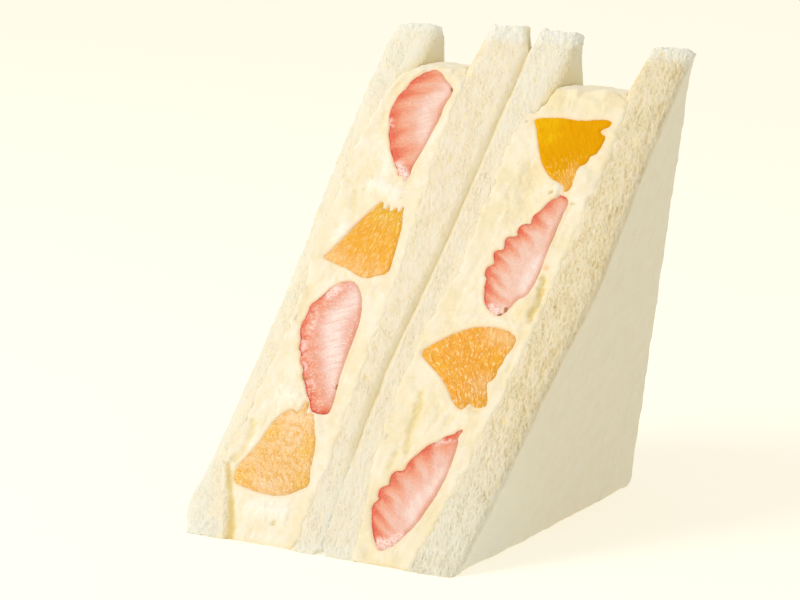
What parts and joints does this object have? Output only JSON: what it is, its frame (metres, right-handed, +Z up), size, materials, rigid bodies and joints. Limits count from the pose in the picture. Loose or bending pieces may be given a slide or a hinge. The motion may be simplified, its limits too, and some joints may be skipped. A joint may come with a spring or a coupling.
{
  "type": "custard fruit sandwich",
  "caption": "Crustless custard cream and fruit sandwich, cut corner to corner, with its halves pressed side by side and strawberry and peach showing in the slanting cut face.",
  "frame": {"origin": "on the surface it stands on, under the middle of its bounding box", "axes": "+Z up, +X across the slices to the right as the cut face is looked at, +Y to the back, away from the foot of the cut"},
  "size_m": [0.0732, 0.102, 0.1017],
  "materials": {
    "bread": "soft white crumb without crust",
    "cream": "smooth pale yellow custard cream",
    "strawberry": "moist cut strawberry, pale inside",
    "peach": "moist cut yellow peach"
  },
  "bodies": {
    "root": {"bread_1": "bread", "bread_2": "bread", "bread_3": "bread", "bread_4": "bread", "cream_left": "cream", "cream_right": "cream", "strawberry_left_upper": "strawberry", "strawberry_left_lower": "strawberry", "strawberry_right_upper": "strawberry", "strawberry_right_lower": "strawberry", "peach_left_upper": "peach", "peach_left_lower": "peach", "peach_right_upper": "peach", "peach_right_lower": "peach"}
  },
  "joints": []
}
